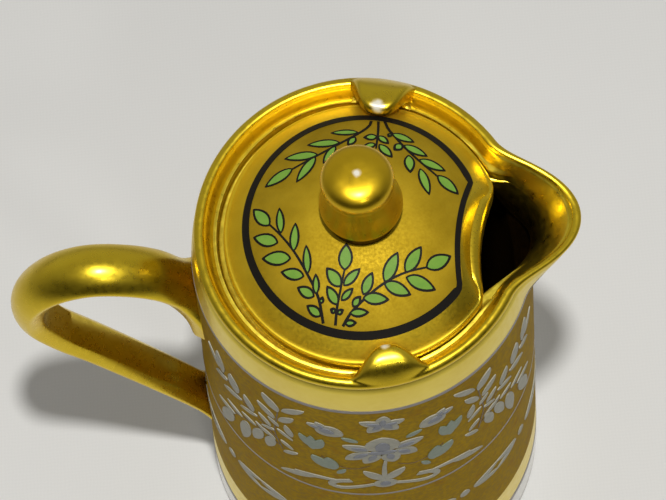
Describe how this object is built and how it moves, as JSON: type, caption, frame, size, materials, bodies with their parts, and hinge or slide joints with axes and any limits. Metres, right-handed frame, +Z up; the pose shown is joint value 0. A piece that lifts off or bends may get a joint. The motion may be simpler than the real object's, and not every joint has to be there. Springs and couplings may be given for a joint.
{
  "type": "cream jug",
  "caption": "Tall tapering porcelain cream jug with a beak spout, an ear-shaped handle and an inset domed lid that turns under two lugs.",
  "frame": {"origin": "on the surface that the foot stands on, under the middle of the jug's length from handle to spout", "axes": "+Z up along the jug's axis, +X towards the spout, -X towards the handle"},
  "size_m": [0.107, 0.0734, 0.1533],
  "materials": {
    "body_enamel": "matt bronze gold over glaze with raised white enamel sprays, polished gold bands",
    "polished_gilding": "burnished gold over glaze, mirror bright",
    "satin_gilding": "satin gold over glaze with painted green leaf sprays and a black ring"
  },
  "bodies": {
    "jug": {"jug_body": "body_enamel", "seat_ring": "polished_gilding", "handle": "polished_gilding", "lug_front": "polished_gilding", "lug_rear": "polished_gilding"},
    "lid": {"lid_cover": "satin_gilding", "lid_knob": "polished_gilding"}
  },
  "joints": [
    {"name": "lid_turn", "type": "hinge", "parent": "jug", "child": "lid", "pos_m": [0.01362, 0, 0.1216], "axis": [0, 0, 1], "continuous": true}
  ]
}
